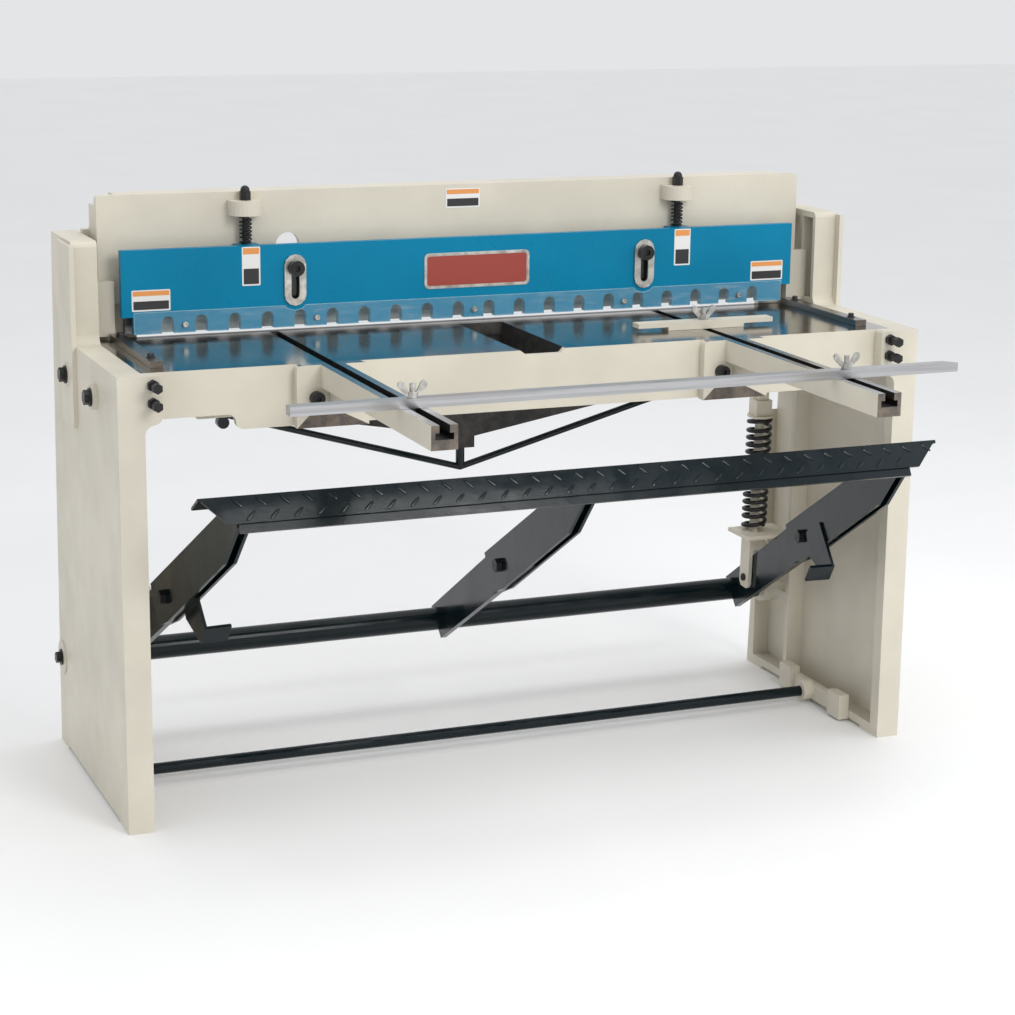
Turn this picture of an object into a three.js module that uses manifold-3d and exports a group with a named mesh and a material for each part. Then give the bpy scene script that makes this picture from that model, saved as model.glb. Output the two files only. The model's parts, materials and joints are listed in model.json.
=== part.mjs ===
// Foot-operated squaring shear: two cast side frames carry a slotted table and a lower blade.
// A treadle swings about a torsion tube and pulls the crosshead, with its upper blade, down past it.
// Units are millimetres: +X to the operator's right, +Y to the back, +Z up.
import * as THREE from "three";
import { mergeVertices } from "three/addons/utils/BufferGeometryUtils.js";
import Module from "manifold-3d";

const wasm = await Module();
wasm.setup();
const { Manifold, Mesh: SolidMesh } = wasm;

// ---- Driving dimensions ----
const WIDTH = 1600; // across the two side frames
const TABLE_TOP = 841; // table surface above the floor
const FRAME_DEPTH = 572; // side frame, front to back, at the floor
const GAP = 0.3; // clearance between pieces that touch
const SIDES = [-1, 1]; // left, right

// ---- Side frame ----
const HALF = WIDTH / 2;
const FLANGE = 48; // width of the front flange, seen from the front
const INNER = HALF - FLANGE; // inner faces of the frames
const WEB = 12;
const RIM = 30; // depth of the front flange
const FOOT = 22; // height of the bottom flange
const UPRIGHT_FRONT = 340;
const UPRIGHT_TOP = 1033;
const UPRIGHT_BACK = 515;
const RIB_FRONT = 392; // vertical rib that carries the crosshead guides
const RIB = 14;
const PAD_DEPTH = 28; // the table's apron is set back behind the bolting pads by this much
const PAD_HALF = 720; // inner edge of the bolting pads
const PAD_BOTTOM = TABLE_TOP - 88;

// ---- Cutting line ----
const CUT_Y = 396; // plane in which the two blades pass
const BLADE = 16; // thickness of each blade
const CUT_LENGTH = 1320;

// ---- Table ----
const TABLE_FRONT = PAD_DEPTH + GAP;
const TABLE_HALF = INNER - GAP;
const PLATE = 24;
const APRON = 16;
const SLOT_X = 405; // T-slot centre lines
const SLOT = 18; // T-slot throat width
const SLOT_DEPTH = 13;
const TEE = 32; // T-slot wide part
const TEE_DEPTH = 11;
const ARM_WIDTH = 46;
const ARM_TIP = -558;
const ARM_DEPTH = 41;

// ---- Crosshead and hold-down ----
const HEAD_HALF = 738;
const HEAD_FRONT = 400;
const HEAD_BACK = 462;
const HEAD_TOP = 1109;
const ROD_X = 455; // hold-down guide rods
const ROD_Y = 385;
const BAR_HALF = 705; // hold-down bar
const BAR_FRONT = 354;
const BAR = 16;
const BAR_TOP = 1011;
const BAR_STEP = 885; // underside of the bar's ends
const BAR_BOTTOM = TABLE_TOP + 11; // underside of its toothed middle
const TOOTH_PITCH = 65;
const TOOTH_GAP = 24;
const KEEPER_X = 368; // slotted keeper plates
const KEEPER_Z = 966; // shoulder bolt through each keeper plate

// ---- Treadle ----
const TUBE = { y: 530, z: 184, r: 24 }; // torsion tube, the treadle's hinge axis
const ARM_ANGLE = THREE.MathUtils.degToRad(31); // arms rise forwards from the tube
const ARM_REACH = 886; // tube axis to the tread's face
const ARM_X = 695; // outer arms at the tube
const ARM_SPLAY = 4.06; // degrees: outer arms close in towards the tread
const PIN_REACH = 93.3; // tube axis to the pull rod's pin

// ---- Pull rods and return springs ----
const PULL_X = ARM_X - PIN_REACH * Math.cos(ARM_ANGLE) * Math.tan((ARM_SPLAY * Math.PI) / 180);
const PULL_TOP = { y: 430, z: 672 }; // pin that hangs each pull rod from the crosshead
const PULL_LENGTH = 440.4;
const PULL_LEAN = 2.6; // degrees: the rod's foot stands further back than its head
const BRACKET_TOP = 339; // seat of the return spring

// ---- Shapes ----

// A closed three.js geometry as a solid.
function solid(geometry) {
  const bare = geometry.clone();
  bare.deleteAttribute("normal");
  bare.deleteAttribute("uv");
  const merged = mergeVertices(bare, 1e-4);
  return new Manifold(
    new SolidMesh({
      numProp: 3,
      vertProperties: merged.attributes.position.array,
      triVerts: Uint32Array.from(merged.index.array),
    }),
  );
}

function block([x0, x1], [y0, y1], [z0, z1]) {
  const box = new THREE.BoxGeometry(x1 - x0, y1 - y0, z1 - z0);
  return solid(box.translate((x0 + x1) / 2, (y0 + y1) / 2, (z0 + z1) / 2));
}

// Outline points are [y, z] for axis "x", [x, z] for axis "y" and [x, y] for axis "z".
function prism(axis, points, from, to) {
  const turned = axis === "y" ? points.map(([a, b]) => [b, a]) : points;
  const shape = new THREE.Shape(turned.map(([a, b]) => new THREE.Vector2(a, b)));
  const body = new THREE.ExtrudeGeometry(shape, {
    depth: to - from,
    bevelEnabled: false,
  });
  body.translate(0, 0, from);
  const [X, Y, Z] = [
    new THREE.Vector3(1, 0, 0),
    new THREE.Vector3(0, 1, 0),
    new THREE.Vector3(0, 0, 1),
  ];
  const bases = { x: [Y, Z, X], y: [Z, X, Y], z: [X, Y, Z] };
  return solid(body.applyMatrix4(new THREE.Matrix4().makeBasis(...bases[axis])));
}

// A cylinder along an axis; centre is [y, z], [x, z] or [x, y], as in prism.
function bar(axis, radius, centre, from, to, sides = 20) {
  const turns = Array.from({ length: sides }, (_, i) => ((i + 0.5) * 2 * Math.PI) / sides);
  const ring = turns.map((t) => [
    centre[0] + radius * Math.cos(t),
    centre[1] + radius * Math.sin(t),
  ]);
  return prism(axis, ring, from, to);
}

function hex(axis, acrossFlats, centre, from, to) {
  return bar(axis, acrossFlats / Math.sqrt(3), centre, from, to, 6);
}

// Points on an arc about [a, b], in degrees.
function arc(a, b, radius, start, end, steps = 6) {
  return Array.from({ length: steps + 1 }, (_, i) => {
    const t = THREE.MathUtils.degToRad(start + ((end - start) * i) / steps);
    return [a + radius * Math.cos(t), b + radius * Math.sin(t)];
  });
}

// A slot with round ends, upright, as an [x, z] outline.
function oblong(x, low, high, width) {
  const r = width / 2;
  return [...arc(x, high - r, r, 0, 180), ...arc(x, low + r, r, 180, 360)];
}

function join(...pieces) {
  return pieces.reduce((whole, piece) => whole.add(piece));
}

function cut(body, ...tools) {
  return tools.reduce((rest, tool) => rest.subtract(tool), body);
}

// The right-hand piece, or its mirror image for the left side.
function onSide(side, piece) {
  return side > 0 ? piece : piece.mirror([1, 0, 0]);
}

// A coil spring of round wire whose flattened height runs from low to high.
function coil({ x, y, low, high, radius, wire, turns, perTurn, sides }) {
  class Helix extends THREE.Curve {
    getPoint(t, target = new THREE.Vector3()) {
      const a = t * turns * 2 * Math.PI;
      const z = low + wire + (high - low - 2 * wire) * t;
      return target.set(x + radius * Math.cos(a), y + radius * Math.sin(a), z);
    }
  }
  const section = new THREE.Shape();
  section.absarc(0, 0, wire, 0, 2 * Math.PI, false);
  return solid(
    new THREE.ExtrudeGeometry(section, {
      steps: Math.round(turns * perTurn),
      extrudePath: new Helix(),
      curveSegments: sides,
      bevelEnabled: false,
    }),
  );
}

// ---- Assembly ----
const machine = new THREE.Group();
machine.name = "foot_shear";

const FINISH = {
  cream: { color: 0xd9d3bd, roughness: 0.45, metalness: 0.0 },
  blue: { color: 0x00709a, roughness: 0.35, metalness: 0.0 },
  black: { color: 0x1c2426, roughness: 0.5, metalness: 0.2 },
  oxide: { color: 0x23231f, roughness: 0.5, metalness: 0.6 },
  ground: { color: 0xb4b8bd, roughness: 0.2, metalness: 1.0 },
  zinc: { color: 0xc8c8c0, roughness: 0.35, metalness: 0.9 },
  clear: { color: 0xbfe0ea, roughness: 0.1, metalness: 0.0, transparent: true, opacity: 0.35 },
};

function add(name, piece, finish) {
  const made = piece.getMesh();
  const geometry = new THREE.BufferGeometry();
  geometry.setAttribute("position", new THREE.BufferAttribute(made.vertProperties, 3));
  geometry.setIndex(new THREE.BufferAttribute(made.triVerts, 1));
  const flat = geometry.toNonIndexed();
  flat.computeVertexNormals();
  const mesh = new THREE.Mesh(flat, new THREE.MeshStandardMaterial(FINISH[finish]));
  mesh.name = name;
  machine.add(mesh);
}

function sideName(base, side) {
  return `${base}_${side < 0 ? "left" : "right"}`;
}

// ---- Side frames ----
const SIDE_BOLTS = [
  [167, 777],
  [373, 782],
]; // [y, z] of the bolts that hold the table's ends
const PAD_SCREW_X = 737;
const PAD_SCREW_Z = [TABLE_TOP - 17, TABLE_TOP - 49];
const COLUMN_STEP = 8; // the outer rib stands this far proud of the panel
const COLUMN = { front: 322, back: 424 };

function frameOutline() {
  return [
    [0, 0],
    [FRAME_DEPTH, 0],
    [UPRIGHT_BACK, UPRIGHT_TOP],
    ...arc(UPRIGHT_FRONT + 10, UPRIGHT_TOP - 10, 10, 90, 180, 3),
    ...arc(UPRIGHT_FRONT - 18, TABLE_TOP + 18, 18, 0, -90, 4),
    [0, TABLE_TOP],
  ];
}

// Pockets cast into the inner side, between the rim, the ribs and the feet.
function framePockets() {
  const reach = [INNER - 1, HALF - WEB];
  const ribBack = RIB_FRONT + RIB;
  const backWall = FRAME_DEPTH - 24;
  return join(
    block(reach, [RIM, RIB_FRONT], [FOOT, TABLE_TOP - 26]),
    block(reach, [ribBack, backWall - 4], [FOOT, TUBE.z - 1]),
    block(reach, [ribBack, backWall - 8], [TUBE.z + 16, 640]),
    block(reach, [ribBack, UPRIGHT_BACK - 18], [660, UPRIGHT_TOP - 14]),
    block(reach, [UPRIGHT_FRONT + 10, RIB_FRONT], [TABLE_TOP + 12, UPRIGHT_TOP - 12]),
  );
}

function boltingPad() {
  const r = 15;
  const inner = [
    [INNER + 5, TABLE_TOP],
    [PAD_HALF + 4, TABLE_TOP],
    [PAD_HALF, TABLE_TOP - 4],
    ...arc(PAD_HALF + r, PAD_BOTTOM + r, r, 180, 270, 4),
    ...arc(INNER - 18, PAD_BOTTOM - 18, 18, 90, 0, 4),
    [INNER + 5, PAD_BOTTOM - 18],
  ];
  return prism("y", inner, 0, PAD_DEPTH);
}

function sideFrame() {
  const column = prism(
    "x",
    [
      [COLUMN.front, 700],
      ...arc(COLUMN.front + 14, 700, 14, 180, 270, 4),
      ...arc(COLUMN.back - 14, 700, 14, 270, 360, 4),
      [COLUMN.back, UPRIGHT_TOP - 5],
      [COLUMN.front, UPRIGHT_TOP - 5],
    ],
    HALF - 1,
    HALF + COLUMN_STEP,
  );
  const bosses = SIDE_BOLTS.map(([y, z]) => bar("x", 23, [y, z], INNER, HALF + COLUMN_STEP + 2));
  const hub = bar("x", 34, [TUBE.y, TUBE.z], INNER, HALF + 3);
  const guideWay = block([712, INNER + 5], [382, HEAD_FRONT - GAP], [TABLE_TOP + 6, 951]);
  const body = join(
    cut(prism("x", frameOutline(), INNER, HALF), framePockets()),
    column,
    boltingPad(),
    hub,
    guideWay,
    ...bosses,
  );
  const footRelief = block([INNER - 1, HALF + 1], [70, FRAME_DEPTH - 70], [-1, 6]);
  const bolts = SIDE_BOLTS.map(([y, z]) => bar("x", 8.3, [y, z], INNER - 1, HALF + 20));
  const screws = PAD_SCREW_Z.map((z) => bar("y", 6.3, [PAD_SCREW_X, z], -1, PAD_DEPTH + 1));
  const pivot = bar("x", 10.3, [TUBE.y, TUBE.z], INNER - 1, HALF + 4);
  return cut(body, footRelief, pivot, ...bolts, ...screws);
}

function rearGuide() {
  const outline = [
    [708, 700],
    [INNER - GAP, 700],
    [INNER - GAP, 1040],
    ...arc(724, 1032, 16, 30, 180, 6),
  ];
  return prism("y", outline, HEAD_BACK + GAP, HEAD_BACK + 18);
}

for (const side of SIDES) {
  add(sideName("side_frame", side), onSide(side, sideFrame()), "cream");
  add(sideName("rear_guide", side), onSide(side, rearGuide()), "cream");
}

// ---- Fasteners that hold the frame together ----
function headedBolt(axis, shank, flats, centre, { tip, seat, head, washer }) {
  const out = Math.sign(seat - tip);
  const stack = (from, thick) => [from, from + out * thick].sort((a, b) => a - b);
  return join(
    bar(axis, shank, centre, ...[tip, seat + out].sort((a, b) => a - b)),
    bar(axis, washer, centre, ...stack(seat + out * GAP, 3)),
    hex(axis, flats, centre, ...stack(seat + out * (GAP + 2), head)),
  );
}

function padScrew(z) {
  const centre = [PAD_SCREW_X, z];
  return join(
    bar("y", 6, centre, -28, PAD_DEPTH - 0.1),
    hex("y", 19, centre, -10, -GAP),
    hex("y", 17, centre, -38, -28),
  );
}

for (const side of SIDES) {
  SIDE_BOLTS.forEach(([y, z], i) => {
    const bolt = headedBolt("x", 8, 24, [y, z], {
      tip: TABLE_HALF - 13,
      seat: HALF + COLUMN_STEP + 2,
      head: 11,
      washer: 17,
    });
    add(`${sideName("table_bolt", side)}_${i + 1}`, onSide(side, bolt), "oxide");
  });
  PAD_SCREW_Z.forEach((z, i) => {
    add(`${sideName("table_screw", side)}_${i + 1}`, onSide(side, padScrew(z)), "oxide");
  });
  const pivot = headedBolt("x", 10, 20, [TUBE.y, TUBE.z], {
    tip: 690,
    seat: HALF + 3,
    head: 10,
    washer: 16,
  });
  add(sideName("pivot_bolt", side), onSide(side, pivot), "oxide");
}

// ---- Bottom tie rod ----
const TIE = { y: 262, z: 25, r: 11 };

function tieBar() {
  const plate = block([738, INNER - GAP], [118, 378], [8, 42]);
  const boss = bar("x", 22, [TIE.y, TIE.z + 2], 716, 740);
  const feet = [142, 352].map((y) => block([729, INNER - GAP], [y - 25, y + 25], [4, 56]));
  return cut(join(plate, boss, ...feet), bar("x", TIE.r + GAP, [TIE.y, TIE.z], 700, 740));
}

add("tie_rod", bar("x", TIE.r, [TIE.y, TIE.z], -(740 - GAP), 740 - GAP), "black");
for (const side of SIDES) add(sideName("tie_bar", side), onSide(side, tieBar()), "cream");

// ---- Table ----
const TABLE_BACK = CUT_Y - GAP; // rear face of the lower blade and its seat
const SEAT_FRONT = TABLE_BACK - BLADE - 4; // the lower blade's seat is cut back to here
const BLADE_LOW = 797;
const BEAM_FRONT = 352;
const TRUSS = { x: 507, y: 385, r: 6.5, top: 684, low: 543, mid: -15 };
const PAD_LOW = 584; // underside of the pad over the truss post
const BEAM_END = TRUSS.top - 4; // underside of the rear beam over the truss rod's ends
const APRON_HIGH = TABLE_TOP - 84; // underside of the apron's ends
const APRON_LOW = TABLE_TOP - 112; // underside of its deeper middle

function teeSlot(x, from, to) {
  const floor = TABLE_TOP - SLOT_DEPTH - TEE_DEPTH;
  return join(
    block([x - SLOT / 2, x + SLOT / 2], [from, to], [TABLE_TOP - SLOT_DEPTH - 1, TABLE_TOP + 1]),
    block([x - TEE / 2, x + TEE / 2], [from, to], [floor, TABLE_TOP - SLOT_DEPTH]),
  );
}

function apronOutline() {
  const half = [
    [TABLE_HALF, TABLE_TOP],
    [TABLE_HALF, APRON_HIGH],
    [608, APRON_HIGH],
    ...arc(594, APRON_HIGH - 14, 14, 90, 180, 4),
    ...arc(566, APRON_LOW + 14, 14, 0, -90, 4),
  ];
  const left = half.map(([x, z]) => [-x, z]).reverse();
  return [...half, ...left];
}

function beamOutline() {
  const belly = 606;
  const half = [
    [TABLE_HALF, BLADE_LOW - GAP],
    [TABLE_HALF, 742],
    [620, 742],
    [560, BEAM_END],
    [420, BEAM_END],
    [0, belly],
  ];
  const left = half
    .slice(0, -1)
    .map(([x, z]) => [-x, z])
    .reverse();
  return [...half, ...left];
}

function table() {
  const handNotch = { left: -36, right: 57, back: 343 };
  const floor = TABLE_TOP - PLATE;
  const plate = block([-TABLE_HALF, TABLE_HALF], [TABLE_FRONT, SEAT_FRONT], [floor, TABLE_TOP]);
  const seat = block([-TABLE_HALF, TABLE_HALF], [BEAM_FRONT, SEAT_FRONT], [742, TABLE_TOP]);
  const apron = prism("y", apronOutline(), TABLE_FRONT, TABLE_FRONT + APRON);
  const beam = prism("y", beamOutline(), SEAT_FRONT - 6, TABLE_BACK);
  const ends = SIDES.map((side) =>
    onSide(side, block([TABLE_HALF - 15, TABLE_HALF], [TABLE_FRONT, BEAM_FRONT], [745, floor])),
  );
  const slotRibs = SIDES.map((side) => {
    const x = side * SLOT_X;
    return block([x - 27, x + 27], [TABLE_FRONT, BEAM_FRONT], [TABLE_TOP - ARM_DEPTH, floor]);
  });
  const notchRibs = [handNotch.left - 12, handNotch.right].map((x) =>
    block([x, x + 12], [TABLE_FRONT, BEAM_FRONT + 4], [748, floor]),
  );
  const postPad = block([TRUSS.mid - 26, TRUSS.mid + 26], [TRUSS.y - 12, TABLE_BACK], [PAD_LOW, 620]);
  const body = join(plate, seat, apron, beam, postPad, ...ends, ...slotRibs, ...notchRibs);
  const notch = block([handNotch.left, handNotch.right], [40, handNotch.back], [700, 850]);
  const lip = prism(
    "y",
    [
      [handNotch.left, TABLE_TOP + 1],
      [handNotch.left + 14, TABLE_TOP - 9],
      [handNotch.right - 10, TABLE_TOP - 9],
      [handNotch.right, TABLE_TOP + 1],
    ],
    0,
    60,
  );
  const slots = SIDES.map((side) => teeSlot(side * SLOT_X, 0, SEAT_FRONT + 1));
  const bolts = SIDES.flatMap((side) =>
    SIDE_BOLTS.map(([y, z]) => onSide(side, bar("x", 8.3, [y, z], TABLE_HALF - 14, INNER + 1))),
  );
  return cut(body, notch, lip, ...slots, ...bolts);
}

add("table", table(), "cream");
add(
  "lower_blade",
  block([-700, 700], [SEAT_FRONT + GAP, TABLE_BACK], [BLADE_LOW, TABLE_TOP]),
  "ground",
);

// ---- Truss rod and its post, under the rear beam ----
const POST_TOP = PAD_LOW - GAP;

function trussRod() {
  const { x, y, r, top, low, mid } = TRUSS;
  const halves = [-x, x].map((end) => {
    const length = Math.hypot(end - mid, top - low);
    const lean = THREE.MathUtils.radToDeg(Math.atan2(end - mid, top - low));
    return bar("z", r, [0, 0], -1, length + 6, 12).rotate([0, lean, 0]).translate([mid, y, low]);
  });
  const post = bar("z", 9, [mid, y], low, POST_TOP, 14);
  const eyes = [-x, x].map((end) => bar("y", 12, [end, top - 16], y - 9, y + 9, 12));
  const rod = cut(join(...halves, ...eyes), block([-560, 560], [300, 460], [BEAM_END - GAP, 720]));
  return join(rod, post);
}

add("truss_rod", trussRod(), "black");

// ---- Gauge arms in front of the table ----
function gaugeArm() {
  const left = SLOT_X - ARM_WIDTH / 2;
  const right = SLOT_X + ARM_WIDTH / 2;
  const under = TABLE_TOP - ARM_DEPTH;
  const beam = block([left, right], [ARM_TIP, PAD_DEPTH], [under, TABLE_TOP]);
  const pad = prism(
    "y",
    [
      [SLOT_X - 68, APRON_LOW - 2],
      [SLOT_X + 68, APRON_LOW - 2],
      [SLOT_X + 68, TABLE_TOP - 14],
      ...arc(SLOT_X + 58, TABLE_TOP - 10, 10, 0, 90, 3),
      ...arc(SLOT_X - 58, TABLE_TOP - 10, 10, 90, 180, 3),
    ],
    PAD_DEPTH - 20,
    PAD_DEPTH,
  );
  const gusset = prism(
    "x",
    [
      [PAD_DEPTH - 10, APRON_LOW + 24],
      [PAD_DEPTH - 10, under + 1],
      [-120, under + 1],
    ],
    SLOT_X - 8,
    SLOT_X + 8,
  );
  const screw = [SLOT_X - 32, 781];
  const head = bar("y", 13, screw, PAD_DEPTH - 35, PAD_DEPTH - 19, 16);
  const socket = hex("y", 11, screw, PAD_DEPTH - 36, PAD_DEPTH - 29);
  const slot = teeSlot(SLOT_X, ARM_TIP - 1, PAD_DEPTH + 1);
  return cut(join(beam, pad, gusset, head), slot, socket);
}

for (const side of SIDES) {
  const arm = gaugeArm().translate([side < 0 ? -2 * SLOT_X : 0, 0, 0]);
  add(sideName("gauge_arm", side), arm, "cream");
}

// ---- Side gauges on the table ----
function sideGauge() {
  return block([700, 724], [70, 378], [TABLE_TOP + GAP, TABLE_TOP + 12]);
}

for (const side of SIDES) add(sideName("side_gauge", side), onSide(side, sideGauge()), "ground");

// ---- Return spring brackets ----
function springBracket() {
  const plate = block([645, INNER - GAP], [384, 478], [BRACKET_TOP - 8, BRACKET_TOP]);
  const gusset = prism(
    "y",
    [
      [INNER - GAP, BRACKET_TOP - 7],
      [716, BRACKET_TOP - 7],
      [INNER - GAP, BRACKET_TOP - 60],
    ],
    466,
    476,
  );
  const rodSlot = block([PULL_X - 13, PULL_X + 13], [420, 460], [300, 350]);
  return cut(join(plate, gusset), rodSlot);
}

for (const side of SIDES) {
  add(sideName("spring_bracket", side), onSide(side, springBracket()), "cream");
}

// ---- Crosshead ----
const HEAD_PLATE = 18;
const BLADE_TOP = 905;
const BOSS = { low: 1066, high: 1094, r: 31 };

function crosshead() {
  const behindBlade = CUT_Y + BLADE + GAP;
  const face = prism(
    "y",
    [
      [-HEAD_HALF, BLADE_TOP],
      [HEAD_HALF, BLADE_TOP],
      ...arc(HEAD_HALF - 12, HEAD_TOP - 12, 12, 0, 90, 4),
      ...arc(-HEAD_HALF + 6, HEAD_TOP - 6, 6, 90, 180, 3),
    ],
    HEAD_FRONT,
    HEAD_FRONT + HEAD_PLATE,
  );
  const bladeSeat = block([-HEAD_HALF, HEAD_HALF], [behindBlade, 430], [878, 930]);
  const topFlange = block([-700, 700], [HEAD_FRONT + 10, HEAD_BACK], [HEAD_TOP - 16, HEAD_TOP]);
  const ribs = [-490, -245, 0, 245, 490].map((x) =>
    block([x - 6, x + 6], [HEAD_FRONT + 14, 450], [882, HEAD_TOP - 10]),
  );
  const legs = SIDES.map((side) => onSide(side, crossheadLeg(behindBlade)));
  const bosses = SIDES.flatMap((side) => {
    const x = side * ROD_X;
    return [
      bar("z", BOSS.r, [x, ROD_Y], BOSS.low, BOSS.high, 24),
      block([x - BOSS.r, x + BOSS.r], [ROD_Y, HEAD_FRONT + 4], [BOSS.low, BOSS.high]),
    ];
  });
  const body = join(face, bladeSeat, topFlange, ...ribs, ...legs, ...bosses);
  const bores = SIDES.flatMap((side) => [
    bar("z", 7, [side * ROD_X, ROD_Y], BOSS.low - 1, BOSS.high + 1),
    bar("y", 7.8, [side * KEEPER_X, KEEPER_Z], HEAD_FRONT - 1, HEAD_FRONT + HEAD_PLATE + 1),
  ]);
  const sightHole = bar("y", 24, [-KEEPER_X + 1, 1004], HEAD_FRONT - 1, HEAD_FRONT + 30, 24);
  return cut(body, sightHole, ...bores);
}

// Outside the cutting width the crosshead reaches down to the pull rods' forks.
function crossheadLeg(front) {
  const wall = block([664, HEAD_HALF], [front, 430], [700, 930]);
  const edge = block([HEAD_HALF - 16, HEAD_HALF], [front, HEAD_BACK], [700, HEAD_TOP - 20]);
  const ears = [PULL_X - 27, PULL_X + 12].map((x) =>
    join(
      block([x, x + 15], [414, 446], [PULL_TOP.z, 712]),
      bar("x", 16, [PULL_TOP.y, PULL_TOP.z], x, x + 15),
    ),
  );
  const pinHole = bar("x", 8.3, [PULL_TOP.y, PULL_TOP.z], 640, 740);
  return cut(join(wall, edge, ...ears), pinHole);
}

// The cutting edge rises from left to right, so it shears the sheet a little at a time.
function upperBlade() {
  const low = TABLE_TOP + 6;
  const rake = 6;
  return prism(
    "y",
    [
      [-690, low],
      [690, low + rake],
      [690, BLADE_TOP - GAP],
      [-690, BLADE_TOP - GAP],
    ],
    CUT_Y,
    CUT_Y + BLADE,
  );
}

function shoulderBolt(side) {
  const centre = [side * KEEPER_X, KEEPER_Z];
  const front = BAR_FRONT - 5;
  return cut(
    join(
      bar("y", 7.5, centre, front - 4, HEAD_FRONT + HEAD_PLATE - 2),
      bar("y", 15, centre, front - 14, front - 3, 24),
    ),
    hex("y", 12, centre, front - 15, front - 8),
  );
}

add("crosshead", crosshead(), "cream");
add("upper_blade", upperBlade(), "ground");
for (const side of SIDES) add(sideName("shoulder_bolt", side), shoulderBolt(side), "oxide");

// ---- Hold-down bar ----
const LUG_BACK = 397;

function toothGaps() {
  const count = Math.round(CUT_LENGTH / TOOTH_PITCH);
  return Array.from({ length: count }, (_, i) => {
    const x = (i - (count - 1) / 2) * TOOTH_PITCH;
    const r = TOOTH_GAP / 2;
    const arch = [...arc(x, BAR_STEP - r, r, 0, 180, 6), [x - r, 800], [x + r, 800]];
    return prism("y", arch, BAR_FRONT - 1, BAR_FRONT + BAR + 1);
  });
}

function holdDown() {
  const toothed = (CUT_LENGTH + 46) / 2;
  const back = BAR_FRONT + BAR;
  const face = block([-BAR_HALF, BAR_HALF], [BAR_FRONT, back], [BAR_STEP, BAR_TOP]);
  const teeth = block([-toothed, toothed], [BAR_FRONT, back], [BAR_BOTTOM, BAR_STEP + 1]);
  const lugs = SIDES.map((side) =>
    block([side * ROD_X - 22, side * ROD_X + 22], [back - 1, LUG_BACK], [BAR_TOP - 30, BAR_TOP]),
  );
  const bores = SIDES.map((side) => bar("z", 6.8, [side * ROD_X, ROD_Y], 960, BAR_TOP + 1));
  const keeperSlots = SIDES.map((side) =>
    prism("y", oblong(side * KEEPER_X, 906, 978, 16.4), BAR_FRONT - 1, back + 1),
  );
  return cut(join(face, teeth, ...lugs), ...bores, ...keeperSlots, ...toothGaps());
}

function keeper(side) {
  const x = side * KEEPER_X;
  const plate = prism("y", oblong(x, 893, 992, 43), BAR_FRONT - 5, BAR_FRONT - GAP);
  return cut(plate, prism("y", oblong(x, 906, 978, 16.4), BAR_FRONT - 6, BAR_FRONT + 1));
}

// Clear finger guard over the teeth, dipping under the two keeper plates.
function fingerGuard() {
  const sheet = block(
    [-683, 683],
    [BAR_FRONT - 3.5, BAR_FRONT - GAP],
    [BAR_BOTTOM + 1, BAR_STEP + 9],
  );
  const dips = SIDES.map((side) =>
    prism("y", oblong(side * KEEPER_X, 884, 1000, 60), BAR_FRONT - 5, BAR_FRONT + 1),
  );
  return cut(sheet, ...dips);
}

function guideRod(side) {
  const centre = [side * ROD_X, ROD_Y];
  const nut = BOSS.high + GAP;
  const dome = new THREE.SphereGeometry(9, 12, 8).translate(...centre, nut + 19);
  return join(
    bar("z", 6.5, centre, BAR_TOP - 29, nut + 10),
    hex("z", 19, centre, nut, nut + 17),
    solid(dome),
  );
}

add("hold_down_bar", holdDown(), "blue");
add("finger_guard", fingerGuard(), "clear");
for (const side of SIDES) {
  add(sideName("keeper_plate", side), keeper(side), "zinc");
  add(sideName("guide_rod", side), guideRod(side), "oxide");
  const spring = coil({
    x: side * ROD_X,
    y: ROD_Y,
    low: BAR_TOP + GAP,
    high: BOSS.low - GAP,
    radius: 10.6,
    wire: 1.7,
    turns: 7,
    perTurn: 8,
    sides: 3,
  });
  add(sideName("hold_down_spring", side), spring, "oxide");
}

// ---- Treadle ----

// A point measured along an arm from the tube's axis, and square to it, as [y, z].
function onArm(along, off) {
  const [c, s] = [Math.cos(ARM_ANGLE), Math.sin(ARM_ANGLE)];
  return [TUBE.y - along * c + off * s, TUBE.z + along * s + off * c];
}

function armPlate(points, from, to) {
  return prism("x", points.map(([along, off]) => onArm(along, off)), from, to);
}

const ARM_BOLT = [412, -6];
const FACE_LOW = -17.5; // lower edge of the tread's face
const RIDGE = 32; // its ridge, square to the arm
const LOWER_ARM = 12; // thickness of the lower arm, held between two upper plates
const UPPER_PLATE = 6;
const ARM_END = ARM_REACH - 12;

// Swings an outer arm about its end at the tube; the middle arm stays straight.
function splayed(piece, side) {
  return piece.translate([0, -TUBE.y, 0]).rotate([0, 0, -side * ARM_SPLAY]).translate([
    side * ARM_X,
    TUBE.y,
    0,
  ]);
}

function lowerArm(pinned) {
  const half = LOWER_ARM / 2;
  const plate = armPlate(
    [
      [-27, 34.5],
      [-6, -41],
      [548, -50],
      [548, 34.5],
    ],
    -half,
    half,
  );
  const [y, z] = onArm(...ARM_BOLT);
  const boltHole = bar("x", 8.3, [y, z], -20, 20);
  const pinHole = bar("x", 10.8, onArm(PIN_REACH, 0), -20, 20);
  return pinned ? cut(plate, boltHole, pinHole) : cut(plate, boltHole);
}

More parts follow.
